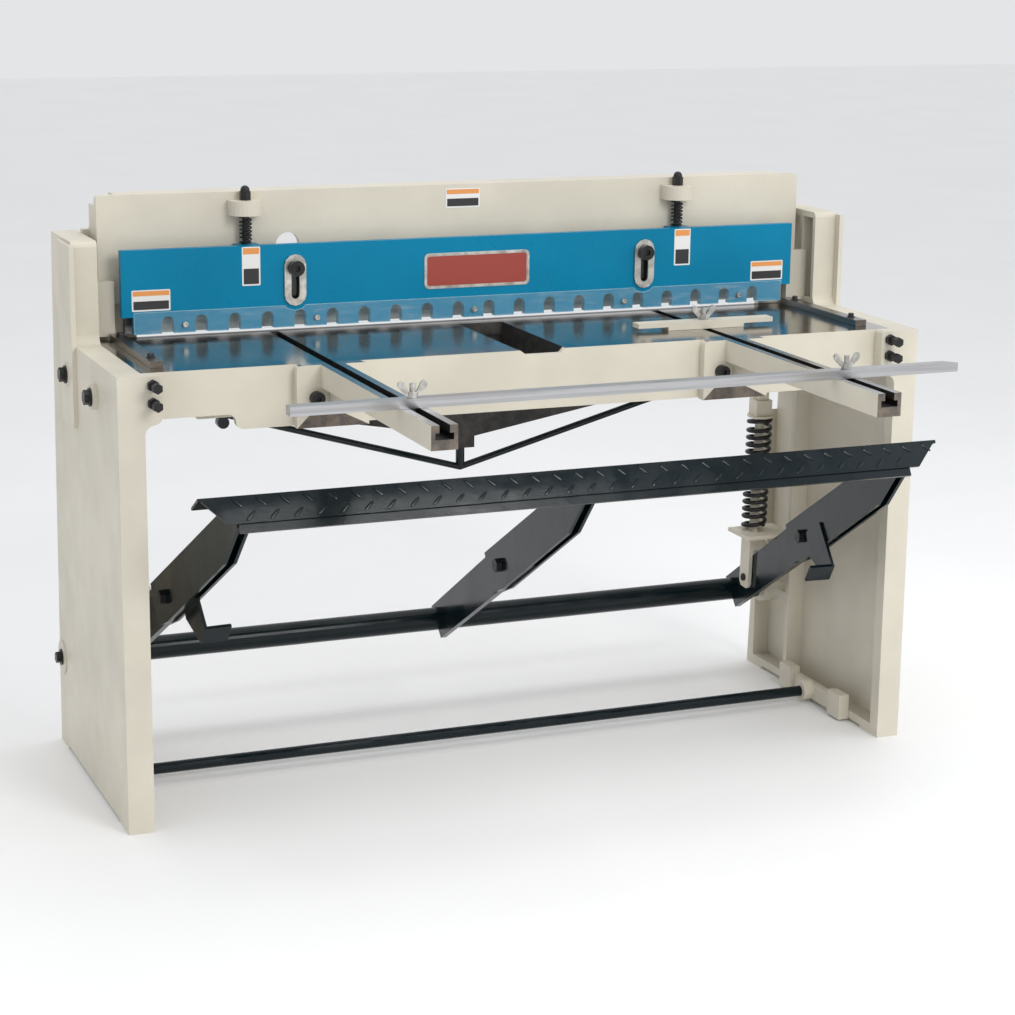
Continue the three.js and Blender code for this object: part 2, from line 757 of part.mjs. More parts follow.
function upperArm(hookSide) {
  const half = LOWER_ARM / 2 + GAP;
  const outline = [
    [345, 39.7],
    [345, -44],
    [400, -52],
    [768, -54],
    [ARM_END, FACE_LOW - 4],
    [ARM_END, RIDGE - 7],
    [833, RIDGE - 7],
    [827, RIDGE - 2],
  ];
  const plates = [-half - UPPER_PLATE, half].map((x) => armPlate(outline, x, x + UPPER_PLATE));
  const spacer = armPlate(
    [
      [820, -20],
      [832, -20],
      [832, 20],
      [820, 20],
    ],
    -half - 1,
    half + 1,
  );
  const boltHole = bar("x", 8.3, onArm(...ARM_BOLT), -20, 20);
  const arm = cut(join(...plates, spacer), boltHole);
  return hookSide ? join(arm, stopHook(hookSide)) : arm;
}

function armBolt() {
  const centre = onArm(...ARM_BOLT);
  const face = LOWER_ARM / 2 + GAP + UPPER_PLATE + GAP;
  return join(
    bar("x", 8, centre, -face - 4, face + 6),
    hex("x", 24, centre, -face - 11, -face),
    hex("x", 24, centre, face, face + 9),
  );
}

// Bent stop welded to the inner face of an outer arm; inner is +1 or -1 along X.
function stopHook(inner) {
  const face = LOWER_ARM / 2 + GAP + UPPER_PLATE - 1;
  const span = (from, to) => [inner * from, inner * to].sort((a, b) => a - b);
  const leg = [
    [446, -8],
    [514, -8],
    [534, -107],
    [498, -124],
    [441, -60],
  ];
  const foot = [
    [534, -107],
    [498, -124],
    [495, -119],
    [531, -101],
  ];
  return join(
    armPlate(leg, ...span(face, face + 6)),
    armPlate(foot, ...span(face, face + 52)),
  );
}

function torsionTube() {
  const end = INNER - 8;
  const tube = bar("x", TUBE.r, [TUBE.y, TUBE.z], -end, end, 28);
  const bores = SIDES.map((side) => onSide(side, bar("x", 10.4, [TUBE.y, TUBE.z], 680, end + 1)));
  const arms = [lowerArm(false), ...SIDES.map((side) => splayed(lowerArm(true), side))];
  return cut(join(tube, ...arms), ...bores);
}

function tread() {
  const plate = 5;
  const half = 718;
  const mitre = 48;
  const section = [
    [ARM_REACH, RIDGE],
    [ARM_REACH, FACE_LOW],
    [ARM_REACH - plate, FACE_LOW],
    [ARM_REACH - plate, RIDGE - plate],
    [837, RIDGE - plate],
    [837, RIDGE],
  ];
  const angle = armPlate(section, -half, half);
  const corner = [ARM_REACH - plate - 0.5, ARM_REACH + 2];
  const wedges = SIDES.map((side) => onSide(side, mitreWedge(half, mitre, corner)));
  const stiffener = armPlate(
    [
      [ARM_END + 1, FACE_LOW - 15],
      [ARM_REACH - plate + 0.5, FACE_LOW - 15],
      [ARM_REACH - plate + 0.5, RIDGE - 12],
      [ARM_END + 1, RIDGE - 12],
    ],
    -652,
    652,
  );
  return join(cut(angle, ...wedges), stiffener);
}

// Cuts the tread's face back at 45 degrees below its ridge.
function mitreWedge(half, mitre, [near, far]) {
  const outline = [
    [half - mitre, FACE_LOW - 1],
    [half + 1, FACE_LOW - 1],
    [half + 1, RIDGE - 6],
    [half - 6, RIDGE - 6],
  ];
  const turn = 90 - THREE.MathUtils.radToDeg(ARM_ANGLE);
  const upright = prism("y", outline, -far, -near);
  return upright.rotate([turn - 90, 0, 0]).translate([0, TUBE.y, TUBE.z]);
}

add("torsion_tube", torsionTube(), "black");
add("tread", tread(), "black");
add("upper_arm_middle", upperArm(0), "black");
add("arm_bolt_middle", armBolt(), "oxide");
for (const side of SIDES) {
  add(sideName("upper_arm", side), splayed(upperArm(-side), side), "black");
  add(sideName("arm_bolt", side), splayed(armBolt(), side), "oxide");
}

// ---- Pull rods, clevises and return springs ----
const CLEVIS_TOP = -350; // measured down the rod from its top pin
const BLOCK = { top: -44, low: -82, half: 18, washer: 27.5 };

// Hangs a piece drawn about the top pin at its real place and lean.
function hung(piece, side) {
  return piece.rotate([PULL_LEAN, 0, 0]).translate([side * PULL_X, PULL_TOP.y, PULL_TOP.z]);
}

function pullRod() {
  const eye = join(
    bar("x", 15.5, [0, 0], -11.5, 11.5),
    block([-11.5, 11.5], [-14, 14], [BLOCK.top - 1, 0]),
  );
  const head = join(
    block([-BLOCK.half, BLOCK.half], [-BLOCK.half, BLOCK.half], [BLOCK.low + 3, BLOCK.top]),
    bar("z", BLOCK.washer, [0, 0], BLOCK.low, BLOCK.low + 4, 24),
  );
  const shank = bar("z", 10, [0, 0], CLEVIS_TOP - 24, BLOCK.low + 1);
  return join(eye, head, shank, bar("x", 8, [0, 0], -33, 33));
}

function clevis() {
  const slot = 9;
  const cheek = 8;
  const bottom = -PULL_LENGTH - 22;
  const half = slot + cheek;
  const body = prism(
    "x",
    [
      [-20, CLEVIS_TOP],
      [20, CLEVIS_TOP],
      [20, bottom + 10],
      [12, bottom],
      [-12, bottom],
      [-20, bottom + 10],
    ],
    -half,
    half,
  );
  const tongue = block([-slot, slot], [-30, 30], [bottom - 1, CLEVIS_TOP - 26]);
  const rodHole = bar("z", 10 + GAP, [0, 0], CLEVIS_TOP - 27, CLEVIS_TOP + 1);
  const pin = bar("x", 8, [0, -PULL_LENGTH], -half - 4, half + 4);
  return join(cut(body, tongue, rodHole), pin);
}

for (const side of SIDES) {
  add(sideName("pull_rod", side), hung(pullRod(), side), "cream");
  add(sideName("clevis", side), hung(clevis(), side), "cream");
  const spring = coil({
    x: 0,
    y: 0,
    low: BRACKET_TOP - PULL_TOP.z + 2,
    high: BLOCK.low - GAP,
    radius: 23.5,
    wire: 4.2,
    turns: 12,
    perTurn: 8,
    sides: 3,
  });
  add(sideName("return_spring", side), hung(spring, side), "oxide");
}

// ---- Sliding gauges and their wing nuts ----
const STUD = 5;
const GAUGE = { y0: -420, y1: -396, low: -617, high: 626, thick: 16 };
const STOP = { y0: 138, y1: 167, half: 146, foot: 82, thick: 16 };

function teeStud(x, y) {
  const floor = TABLE_TOP - SLOT_DEPTH - TEE_DEPTH;
  return join(
    block([x - 12, x + 12], [y - 12, y + 12], [floor + 1, floor + TEE_DEPTH - 1.5]),
    bar("z", STUD, [x, y], floor + 2, TABLE_TOP + 40, 12),
  );
}

function wingNut(x, y, seat) {
  const wing = [
    [x + 5, seat + 1],
    [x + 11, seat + 4],
    [x + 24, seat + 17],
    ...arc(x + 20, seat + 22, 6, -45, 160, 5),
    [x + 6, seat + 9],
  ];
  const mirrored = wing.map(([px, pz]) => [2 * x - px, pz]);
  return cut(
    join(
      bar("z", 9, [x, y], seat, seat + 10, 16),
      prism("y", wing, y - 2.5, y + 2.5),
      prism("y", mirrored, y - 2.5, y + 2.5),
    ),
    bar("z", STUD + 0.4, [x, y], seat - 1, seat + 14, 12),
  );
}

function frontGauge() {
  const seat = TABLE_TOP + GAP;
  const plan = [
    [GAUGE.low, GAUGE.y0],
    [GAUGE.high, GAUGE.y0],
    [GAUGE.high - 18, GAUGE.y1],
    [GAUGE.low, GAUGE.y1],
  ];
  const centre = (GAUGE.y0 + GAUGE.y1) / 2;
  const holes = SIDES.map((side) =>
    bar("z", STUD + 0.5, [side * SLOT_X, centre], seat - 1, seat + 30, 12),
  );
  return cut(prism("z", plan, seat, seat + GAUGE.thick), ...holes);
}

function shortGauge() {
  const seat = TABLE_TOP + GAP;
  const mid = (STOP.y0 + STOP.y1) / 2;
  const span = [STOP.y0, STOP.y1];
  const top = block(
    [SLOT_X - STOP.half, SLOT_X + STOP.half],
    span,
    [seat + 7, seat + STOP.thick],
  );
  const foot = block([SLOT_X - STOP.foot, SLOT_X + STOP.foot], span, [seat, seat + 8]);
  const hole = bar("z", STUD + 0.5, [SLOT_X, mid], seat - 1, seat + 30, 12);
  return cut(join(top, foot), hole);
}

add("front_gauge_bar", frontGauge(), "ground");
for (const side of SIDES) {
  const [x, y] = [side * SLOT_X, (GAUGE.y0 + GAUGE.y1) / 2];
  const seat = TABLE_TOP + GAUGE.thick + 2 * GAP;
  add(sideName("gauge_stud", side), teeStud(x, y), "oxide");
  add(sideName("gauge_wing_nut", side), wingNut(x, y, seat), "zinc");
}
const STOP_Y = (STOP.y0 + STOP.y1) / 2;
add("short_gauge", shortGauge(), "cream");
add("short_gauge_stud", teeStud(SLOT_X, STOP_Y), "oxide");
add(
  "short_gauge_wing_nut",
  wingNut(SLOT_X, STOP_Y, TABLE_TOP + STOP.thick + 2 * GAP),
  "zinc",
);

// The frame's origin is on the floor, under the middle of the whole machine.
const bounds = new THREE.Box3().setFromObject(machine);
machine.position.y = -(bounds.min.y + bounds.max.y) / 2;
machine.updateMatrixWorld(true);

export default machine;
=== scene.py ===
"""A foot-operated squaring shear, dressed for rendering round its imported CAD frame.

Lengths are in metres and angles in degrees. +X is the operator's right, +Y the back and +Z up.
"""

import json
import math

import bmesh
import bpy
from mathutils import Matrix, Vector


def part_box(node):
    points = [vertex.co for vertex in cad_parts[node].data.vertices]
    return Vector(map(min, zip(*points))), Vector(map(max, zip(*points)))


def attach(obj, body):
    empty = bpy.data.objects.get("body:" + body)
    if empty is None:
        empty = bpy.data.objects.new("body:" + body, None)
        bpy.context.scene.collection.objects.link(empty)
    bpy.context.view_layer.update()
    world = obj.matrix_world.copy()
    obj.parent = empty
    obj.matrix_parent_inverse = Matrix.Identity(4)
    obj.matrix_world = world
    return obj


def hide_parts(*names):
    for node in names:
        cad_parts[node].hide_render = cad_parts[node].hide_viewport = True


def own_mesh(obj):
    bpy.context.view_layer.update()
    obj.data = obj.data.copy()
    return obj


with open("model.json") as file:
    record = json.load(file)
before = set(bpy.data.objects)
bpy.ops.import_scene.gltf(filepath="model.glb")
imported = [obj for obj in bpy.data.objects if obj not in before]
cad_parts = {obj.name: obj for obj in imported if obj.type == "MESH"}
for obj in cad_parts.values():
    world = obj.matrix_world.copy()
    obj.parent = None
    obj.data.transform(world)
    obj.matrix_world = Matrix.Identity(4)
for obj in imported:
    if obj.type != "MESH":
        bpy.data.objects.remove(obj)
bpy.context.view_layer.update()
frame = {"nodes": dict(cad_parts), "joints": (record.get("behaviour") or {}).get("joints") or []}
NODES = frame["nodes"]
SIDES = {"left": -1, "right": 1}
ALONG_X = Vector((1, 0, 0))
FORWARD = Vector((0, -1, 0))
BACK = Vector((0, 1, 0))
UP = Vector((0, 0, 1))


def joint_place(name):
    found = next(j for j in frame["joints"] if j["name"] == name)
    return Vector(found["pos_m"])


def low(node):
    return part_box(node)[0]


def high(node):
    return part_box(node)[1]


# ---- Materials ----


class Shader:
    """One procedural material. Its nodes work in object coordinates, which are metres."""

    def __init__(self, name, **surface):
        self.material = bpy.data.materials.new(name)
        self.material.use_nodes = True
        self.tree = self.material.node_tree
        self.surface = self.tree.nodes["Principled BSDF"]
        self.place = self.node("ShaderNodeTexCoord").outputs["Object"]
        for socket, value in surface.items():
            self.surface.inputs[socket.replace("_", " ")].default_value = value

    def node(self, kind, **settings):
        made = self.tree.nodes.new(kind)
        for key, value in settings.items():
            setattr(made, key, value)
        return made

    def feed(self, node, socket, value):
        if isinstance(value, bpy.types.NodeSocket):
            self.tree.links.new(value, node.inputs[socket])
        else:
            node.inputs[socket].default_value = value

    def stretched(self, scale):
        mapping = self.node("ShaderNodeMapping")
        self.feed(mapping, "Vector", self.place)
        self.feed(mapping, "Scale", scale)
        return mapping.outputs["Vector"]

    def noise(self, scale, detail=3.0, roughness=0.5, stretch=(1, 1, 1)):
        made = self.node("ShaderNodeTexNoise")
        self.feed(made, "Vector", self.stretched(stretch))
        self.feed(made, "Scale", scale)
        self.feed(made, "Detail", detail)
        self.feed(made, "Roughness", roughness)
        return made.outputs["Fac"]

    def ramp(self, value, start, end, out=(0.0, 1.0)):
        """Maps value from start..end to out, and holds it there."""
        made = self.node("ShaderNodeMapRange", interpolation_type="SMOOTHSTEP")
        self.feed(made, "Value", value)
        self.feed(made, "From Min", start)
        self.feed(made, "From Max", end)
        self.feed(made, "To Min", out[0])
        self.feed(made, "To Max", out[1])
        return made.outputs["Result"]

    def mix(self, share, first, second):
        made = self.node("ShaderNodeMix", data_type="RGBA")
        self.feed(made, 0, share)
        self.feed(made, 6, first)
        self.feed(made, 7, second)
        return made.outputs[2]

    def blend(self, share, first, second):
        """Like mix, for plain numbers."""
        made = self.node("ShaderNodeMix", data_type="FLOAT")
        self.feed(made, 0, share)
        self.feed(made, 2, first)
        self.feed(made, 3, second)
        return made.outputs[0]

    def times(self, first, second):
        made = self.node("ShaderNodeMath", operation="MULTIPLY", use_clamp=True)
        self.feed(made, 0, first)
        self.feed(made, 1, second)
        return made.outputs[0]

    def edges(self, radius):
        """1 on sharp outer edges and 0 on flats."""
        rounded = self.node("ShaderNodeBevel", samples=4)
        self.feed(rounded, "Radius", radius)
        true = self.node("ShaderNodeNewGeometry")
        dot = self.node("ShaderNodeVectorMath", operation="DOT_PRODUCT")
        self.feed(dot, 0, rounded.outputs["Normal"])
        self.feed(dot, 1, true.outputs["Normal"])
        return self.ramp(dot.outputs["Value"], 0.93, 0.78)

    def bump(self, layers):
        """Each layer is (height value, distance in metres)."""
        normal = None
        for height, distance in layers:
            made = self.node("ShaderNodeBump")
            self.feed(made, "Height", height)
            self.feed(made, "Distance", distance)
            self.feed(made, "Strength", 1.0)
            if normal:
                self.feed(made, "Normal", normal)
            normal = made.outputs["Normal"]
        self.feed(self.surface, "Normal", normal)

    def finish(self, colour, roughness):
        self.feed(self.surface, "Base Color", colour)
        self.feed(self.surface, "Roughness", roughness)
        return self.material


def shade(colour, factor):
    return tuple(c * factor for c in colour) + (1.0,)


def paint(name, colour, worn, gloss, texture, wear, shine):
    """Brushed or sprayed paint over metal: slightly uneven, with dull patches and rubbed edges."""
    s = Shader(name, Specular_IOR_Level=shine)
    cloud = s.ramp(s.noise(5.0, 4.0), 0.3, 0.7)
    fleck = s.ramp(s.noise(190.0, 2.0), 0.66, 0.78, (0.0, 0.35))
    base = s.mix(cloud, shade(colour, 0.93), shade(colour, 1.05))
    specked = s.mix(fleck, base, shade(colour, 0.8))
    chips = s.ramp(s.noise(70.0, 5.0, 0.65), 0.62 - wear, 0.72 - wear)
    rubbed = s.times(s.edges(0.0035), chips)
    s.bump([(s.noise(26.0, 3.0), texture), (s.noise(420.0, 2.0), texture * 0.16)])
    dull = s.ramp(s.noise(14.0, 4.0), 0.3, 0.7, (gloss - 0.06, gloss + 0.1))
    return s.finish(s.mix(rubbed, specked, worn + (1.0,)), dull)


def ground_steel(name, colour, gloss, grain):
    """Surface-ground steel: fine scratches along the grain and faint oily clouds."""
    s = Shader(name, Metallic=1.0)
    lines = s.noise(900.0, 3.0, 0.6, grain)
    coarse = s.noise(160.0, 3.0, 0.6, grain)
    stain = s.ramp(s.noise(5.0, 5.0, 0.6), 0.45, 0.8)
    tone = s.mix(s.ramp(coarse, 0.35, 0.65), shade(colour, 0.86), shade(colour, 1.08))
    dark = s.mix(s.times(stain, 0.25), tone, shade(colour, 0.7))
    s.bump([(lines, 0.00001), (coarse, 0.00001)])
    return s.finish(dark, s.ramp(stain, 0.0, 1.0, (gloss, gloss + 0.08)))


def oxide_steel(name, colour, gloss, metallic):
    """Dark or plated fasteners: mottled, with brighter rubbed edges."""
    s = Shader(name, Metallic=metallic)
    mottle = s.ramp(s.noise(60.0, 4.0, 0.6), 0.3, 0.7)
    tone = s.mix(mottle, shade(colour, 0.75), shade(colour, 1.25))
    rubbed = s.times(s.edges(0.0012), s.ramp(s.noise(150.0), 0.35, 0.6, (0.1, 0.6)))
    s.bump([(s.noise(300.0, 3.0), 0.00006)])
    bright = tuple(min(1.0, c * 2.2 + 0.12) for c in colour) + (1.0,)
    return s.finish(s.mix(rubbed, tone, bright), s.ramp(mottle, 0, 1, (gloss, gloss + 0.15)))


def rough_cast(name, colour):
    """Unpainted machined casting: brown-grey, pitted, a little rusty."""
    s = Shader(name, Metallic=0.55)
    patch = s.ramp(s.noise(35.0, 5.0, 0.6), 0.35, 0.65)
    pits = s.ramp(s.noise(260.0, 3.0), 0.6, 0.7)
    red, green, blue = colour
    rusty = shade((red * 1.1, green, blue * 0.9), 1.25)
    tone = s.mix(patch, shade(colour, 0.7), rusty)
    s.bump([(s.noise(260.0, 3.0), 0.00015), (s.noise(40.0, 3.0), 0.0003)])
    return s.finish(s.mix(s.times(pits, 0.5), tone, shade(colour, 0.35)), 0.55)


def clear_sheet(name):
    """Clear acrylic with faint scuffs, a cool tint and bright edges."""
    s = Shader(name, IOR=1.49)
    scuff = s.ramp(s.noise(120.0, 4.0, 0.7, (0.15, 1, 1)), 0.45, 0.75)
    tint = s.mix(scuff, (0.55, 0.75, 0.8, 1), (0.75, 0.85, 0.88, 1))
    seen = s.blend(s.edges(0.002), s.ramp(scuff, 0, 1, (0.07, 0.16)), 0.75)
    s.feed(s.surface, "Alpha", seen)
    s.bump([(s.noise(60.0, 2.0), 0.00004)])
    return s.finish(tint, s.ramp(scuff, 0, 1, (0.05, 0.15)))


def printed(name, colour, gloss):
    """Printed label stock, faintly mottled and scuffed."""
    s = Shader(name)
    scuff = s.ramp(s.noise(240.0, 4.0, 0.6), 0.5, 0.8, (0.0, 0.3))
    s.bump([(s.noise(500.0, 2.0), 0.00002)])
    return s.finish(s.mix(scuff, shade(colour, 1.0), shade(colour, 0.82)), gloss)


def floor_material():
    s = Shader("pale_floor")
    cloud = s.ramp(s.noise(1.5, 3.0), 0.3, 0.7)
    s.bump([(s.noise(40.0, 2.0), 0.0002)])
    return s.finish(s.mix(cloud, (0.93, 0.93, 0.93, 1), (0.95, 0.95, 0.95, 1)), 0.6)


CREAM = paint("cream_paint", (0.64, 0.6, 0.5), (0.33, 0.28, 0.2), 0.42, 0.0006, 0.0, 0.4)
BLUE = paint("blue_paint", (0.0, 0.2, 0.36), (0.12, 0.2, 0.26), 0.3, 0.0002, -0.05, 0.15)
BLACK = paint("black_paint", (0.002, 0.008, 0.011), (0.09, 0.09, 0.09), 0.16, 0.00025, -0.02, 0.3)
TABLE_STEEL = ground_steel("table_steel", (0.42, 0.4, 0.38), 0.15, (1, 0.03, 1))
BAR_STEEL = ground_steel("bar_steel", (0.5, 0.5, 0.51), 0.3, (0.02, 1, 1))
ARM_STEEL = ground_steel("arm_steel", (0.46, 0.46, 0.47), 0.24, (1, 0.02, 1))
GAUGE_STEEL = ground_steel("gauge_steel", (0.3, 0.29, 0.28), 0.28, (1, 0.02, 1))
BLADE_STEEL = ground_steel("blade_steel", (0.2, 0.2, 0.2), 0.35, (0.02, 1, 1))
OXIDE = oxide_steel("black_oxide", (0.025, 0.025, 0.026), 0.34, 0.6)
ZINC = oxide_steel("zinc_plate", (0.52, 0.51, 0.47), 0.28, 1.0)
SPRING = oxide_steel("spring_steel", (0.03, 0.03, 0.032), 0.3, 0.7)
CAST = rough_cast("machined_casting", (0.15, 0.135, 0.12))
# raw casting for slot walls, darkened to near black as painted shade inside the slots
SLOT_CAST_AND_PAINTED_SHADE = rough_cast("slot_casting_and_painted_shade", (0.022, 0.021, 0.02))
# machined casting for the hand notch's inner walls, darkened as painted shade in the hollow
NOTCH_CAST_AND_PAINTED_SHADE = rough_cast("notch_casting_and_painted_shade", (0.05, 0.05, 0.05))
CLEAR = clear_sheet("clear_acrylic")
LABEL_WHITE = printed("label_white", (0.78, 0.78, 0.76), 0.45)
LABEL_BAND = printed("label_band", (0.75, 0.3, 0.08), 0.45)
LABEL_DARK = printed("label_dark", (0.02, 0.02, 0.022), 0.4)
BADGE_FIELD = printed("badge_field", (0.33, 0.05, 0.035), 0.3)


# ---- The CAD nodes ----


def cover(node, material):
    data = NODES[node].data
    data.materials.clear()
    data.materials.append(material)


def cover_where(node, material, chosen):
    """Gives the faces for which chosen(centre, normal) holds their own material."""
    data = NODES[node].data
    data.materials.append(material)
    index = len(data.materials) - 1
    for face in data.polygons:
        if chosen(face.center, face.normal):
            face.material_index = index


SHARP_ANGLE = math.radians(32)  # edges that turn more than this are sharp


def soften(node, width):
    """Rounds a node's sharp edges and smooths its curved faces."""
    thing = NODES[node]
    thing.data.shade_smooth()
    thing.data.set_sharp_from_angle(angle=SHARP_ANGLE)
    bevel = thing.modifiers.new("soft_edges", "BEVEL")
    bevel.width = width
    bevel.segments = 2
    bevel.limit_method = "ANGLE"
    bevel.angle_limit = SHARP_ANGLE
    bevel.harden_normals = True
    bevel.loop_slide = False


# Starts of node names, their material, and the width of their softened edges.
FINISHES = [
    (("side_frame", "rear_guide", "tie_bar", "gauge_arm", "spring_bracket"), CREAM, 0.003),
    (("table", "crosshead"), CREAM, 0.0022),
    (("pull_rod", "clevis", "short_gauge"), CREAM, 0.0015),
    (("hold_down_bar",), BLUE, 0.0012),
    (("torsion_tube", "upper_arm", "tread"), BLACK, 0.0012),
    (("tie_rod", "truss_rod"), BLACK, 0.0008),
    (("lower_blade", "upper_blade"), BLADE_STEEL, 0.0004),
    (("side_gauge",), GAUGE_STEEL, 0.0007),
    (("front_gauge_bar",), BAR_STEEL, 0.0007),
    (("keeper_plate", "gauge_wing_nut", "short_gauge_wing_nut"), ZINC, 0.0008),
    (("table_bolt", "table_screw", "pivot_bolt", "arm_bolt", "shoulder_bolt"), OXIDE, 0.0008),
    (("guide_rod",), OXIDE, 0.0006),
    (("gauge_stud", "short_gauge_stud"), ZINC, 0.0006),
    (("return_spring", "hold_down_spring"), SPRING, 0.0),
    (("finger_guard",), CLEAR, 0.0004),
]


def finish_of(node):
    """The longest matching name in FINISHES decides."""
    matches = [
        (len(start), material, width)
        for starts, material, width in FINISHES
        for start in starts
        if node.startswith(start)
    ]
    return max(matches, key=lambda match: match[0])[1:]


for node in NODES:
    material, edge = finish_of(node)
    cover(node, material)
    if edge:
        soften(node, edge)

TABLE_TOP = high("table").z
SLOT_X = 0.405  # middle of each T-slot
SLOT_HALF = 0.0162  # half the width of its wide lower part
SLOT_FLOOR = TABLE_TOP - 0.0245
NOTCH_SIDES = (-0.0365, 0.0575)
NOTCH_FRONT = low("table").y + 0.012
KEEPER_X = 0.368  # middle of each slotted keeper plate
KEEPER_SLOT_HALF = 0.0095
KEEPER_SLOT_LOW, KEEPER_SLOT_HIGH = 0.9, 0.982
ARM_SCREW_INSET = 0.036  # from the left edge of a gauge arm's pad to its screw
ARM_SCREW_Z = 0.781
ARM_SCREW_REACH = 0.0145  # just past the radius of its head
ARM_SCREW_DEPTH = (-0.025, 0.0008)  # along y, from in front of the head to the pad's face
CLEVIS_HALF = 0.0172  # just past the outer faces of a clevis's cheeks
FACING = 0.9  # a face points along an axis when its normal has more than this of it


def on_top(centre, normal):
    return normal.z > FACING and centre.z > TABLE_TOP - 0.001


def in_slot(centre, normal):
    return (
        abs(abs(centre.x) - SLOT_X) < SLOT_HALF
        and SLOT_FLOOR < centre.z < TABLE_TOP - 0.0005
        and not on_top(centre, normal)
    )


def in_notch(centre, normal):
    left, right = NOTCH_SIDES
    inward = abs(normal.x) > FACING or normal.y < -FACING
    return left <= centre.x <= right and inward and centre.y > NOTCH_FRONT


def in_keeper_slot(centre, normal):
    across = abs(abs(centre.x) - KEEPER_X) < KEEPER_SLOT_HALF
    return across and KEEPER_SLOT_LOW < centre.z < KEEPER_SLOT_HIGH and abs(normal.y) < 0.5


def near_arm_screw(side):
    """Holds for the head of the socket screw on one gauge arm's pad."""
    middle = low(f"gauge_arm_{side}").x + ARM_SCREW_INSET
    front, back = ARM_SCREW_DEPTH

    def chosen(centre, normal):
        off_axis = math.hypot(centre.x - middle, centre.z - ARM_SCREW_Z)
        return off_axis < ARM_SCREW_REACH and front < centre.y < back

    return chosen


def pin_end(side):
    """Holds for the ends of the pin through one clevis, outside its cheeks."""
    clevis = f"clevis_{side}"
    middle = (low(clevis).x + high(clevis).x) / 2
    return lambda centre, normal: abs(centre.x - middle) > CLEVIS_HALF


def front_end(node):
    """Holds for the end face of one node that is nearest the operator."""
    end = low(node).y + 0.002
    return lambda centre, normal: normal.y < -FACING and centre.y < end


def pad_foot(centre, normal):
    """Holds for the lowest strip of a gauge arm's pad, where it meets the apron."""
    return centre.z < low("gauge_arm_left").z + 0.026 and centre.y > low("table").y - 0.03


cover_where("table", TABLE_STEEL, on_top)
# the table's T-slot walls get the near-black slot material: painted shade in the slots
cover_where("table", SLOT_CAST_AND_PAINTED_SHADE, in_slot)
# the notch's inner walls get the dark notch material: painted shade in the notch
cover_where("table", NOTCH_CAST_AND_PAINTED_SHADE, in_notch)
# the keeper slots' walls through the blue bar get the near-black slot material: painted shade in
# the slots
cover_where("hold_down_bar", SLOT_CAST_AND_PAINTED_SHADE, in_keeper_slot)
for side in SIDES:
    arm = f"gauge_arm_{side}"
    cover_where(arm, ARM_STEEL, on_top)
    # the arm's T-slot walls get the near-black slot material: painted shade in the slot
    cover_where(arm, SLOT_CAST_AND_PAINTED_SHADE, in_slot)
    cover_where(arm, CAST, front_end(arm))
    cover_where(arm, CAST, pad_foot)
    cover_where(arm, OXIDE, near_arm_screw(side))
    cover_where(f"clevis_{side}", OXIDE, pin_end(side))
    gauge = f"side_gauge_{side}"
    cover_where(gauge, CAST, front_end(gauge))


# ---- Making new pieces ----


def piece(name, mesh, material, body, smooth_angle=35):
    thing = bpy.data.objects.new(name, mesh)
    bpy.context.collection.objects.link(thing)
    mesh.materials.append(material)
    mesh.shade_smooth()
    mesh.set_sharp_from_angle(angle=math.radians(smooth_angle))
    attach(thing, body)
    return thing


def from_bmesh(name, bm):
    bmesh.ops.recalc_face_normals(bm, faces=bm.faces)
    mesh = bpy.data.meshes.new(name)
    bm.to_mesh(mesh)
    bm.free()
    return mesh


def turned(direction):
    """A frame whose z axis points along direction, with x kept level where it can be."""
    z = Vector(direction).normalized()
    x = UP.cross(z) if abs(z.z) < 0.9 else ALONG_X - z * z.x
    x.normalize()
    return Matrix((x, z.cross(x), z)).transposed().to_4x4()


def stacked_rings(bm, rings, place):
    """Skins a stack of rings of 3-D points, in place's frame, and caps both ends."""
    rows = [[bm.verts.new(place @ Vector(p)) for p in ring] for ring in rings]
    for lower, upper in zip(rows, rows[1:]):
        for i in range(len(lower)):
            j = (i + 1) % len(lower)
            bm.faces.new((lower[i], lower[j], upper[j], upper[i]))
    bm.faces.new(rows[0][::-1])
    bm.faces.new(rows[-1])


def circle(radius, height, count):
    turns = (2 * math.pi * i / count for i in range(count))
    return [(radius * math.cos(t), radius * math.sin(t), height) for t in turns]


def hex_head(bm, place, flats, height):
    """A hexagon head with a chamfered top."""
    corner = flats / math.sqrt(3)
    stack = [
        circle(corner, 0.0, 6),
        circle(corner, height * 0.86, 6),
        circle(corner * 0.88, height, 6),
    ]
    stacked_rings(bm, stack, place)


def washer(bm, place, radius, thick):
    edge = thick * 0.3
    stack = [
        circle(radius - edge, 0.0, 28),
        circle(radius, edge, 28),
        circle(radius, thick - edge, 28),
        circle(radius - edge, thick, 28),
    ]
    stacked_rings(bm, stack, place)


def hex_bolts(name, spots, direction, flats, height, body):
    """One mesh of like bolts, each a washer and a head standing on its spot."""
    bm = bmesh.new()
    for spot in spots:
        place = Matrix.Translation(spot) @ turned(direction)
        washer(bm, place, flats * 0.78, 0.0018)
        hex_head(bm, place @ Matrix.Translation((0, 0, 0.0015)), flats, height)
    return piece(name, from_bmesh(name, bm), OXIDE, body)


def socket_screws(name, spots, direction, radius, height, body, material):
    """One mesh of like round-headed screws, each with a sunken round socket."""
    bm = bmesh.new()
    for spot in spots:
        place = Matrix.Translation(spot) @ turned(direction)
        stack = [
            circle(radius, 0.0, 24),
            circle(radius, height * 0.75, 24),
            circle(radius * 0.84, height, 24),
            circle(radius * 0.55, height, 24),
            circle(radius * 0.5, height * 0.3, 24),
        ]
        stacked_rings(bm, stack, place)
    return piece(name, from_bmesh(name, bm), material, body)


